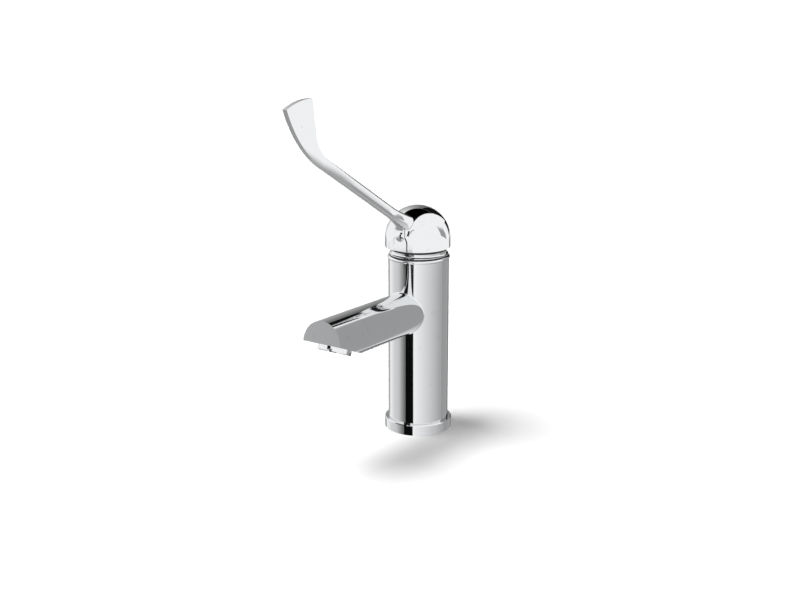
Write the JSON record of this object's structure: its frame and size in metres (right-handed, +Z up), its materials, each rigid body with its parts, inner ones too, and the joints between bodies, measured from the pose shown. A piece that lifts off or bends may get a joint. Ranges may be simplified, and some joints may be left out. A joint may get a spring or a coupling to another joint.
{
  "type": "elbow lever basin tap",
  "caption": "Chrome single-lever basin tap with a straight round spout, a domed cap and a long flat elbow lever.",
  "frame": {"origin": "centre of the tap's underside, on the surface it stands on", "axes": "+Z up along the body's axis, the spout and lever point along -Y, +X to the right of someone who looks along +Y"},
  "size_m": [0.0516, 0.1804, 0.2669],
  "materials": {
    "chrome": "polished",
    "brass": "machined",
    "rubber": "matte",
    "acetal": "moulded",
    "grey_acetal": "moulded",
    "ceramic": "lapped",
    "steel": "bright",
    "index": "polished"
  },
  "bodies": {
    "body": {"body_casting": "chrome", "base_ring": "chrome", "base_seal": "rubber", "seat_seals": "rubber", "cartridge_base": "acetal", "disc_seals": "rubber", "fixed_disc": "ceramic", "cartridge_housing": "acetal", "retaining_nut": "brass", "rim_seal": "rubber", "cover_ring": "chrome", "cap_seal": "rubber", "aerator_housing": "chrome", "aerator_washer": "rubber", "aerator_insert": "grey_acetal", "aerator_screen": "steel"},
    "spindle": {"rotating_guide": "acetal", "pivot_pin": "steel", "limiter_ring": "grey_acetal"},
    "lever": {"lever_handle": "chrome", "lever_stem": "brass", "handle_insert": "acetal", "grub_screw": "steel", "index_plug": "index"},
    "disc": {"disc_carrier": "grey_acetal", "moving_disc": "ceramic"}
  },
  "joints": [
    {"name": "temperature", "type": "hinge", "parent": "body", "child": "spindle", "pos_m": [0, 0, 0.133], "axis": [0, 0, 1], "range_deg": [-45, 45]},
    {"name": "flow", "type": "hinge", "parent": "spindle", "child": "lever", "pos_m": [0, 0, 0.133], "axis": [-1, 0, 0], "range_deg": [0, 20]},
    {"name": "disc_slide", "type": "slide", "parent": "spindle", "child": "disc", "axis": [0, -1, 0], "range_m": [0, 0.0031]}
  ],
  "couplings": [
    {"joint": "disc_slide", "follows": "flow", "m_per_rad": 0.0086}
  ]
}
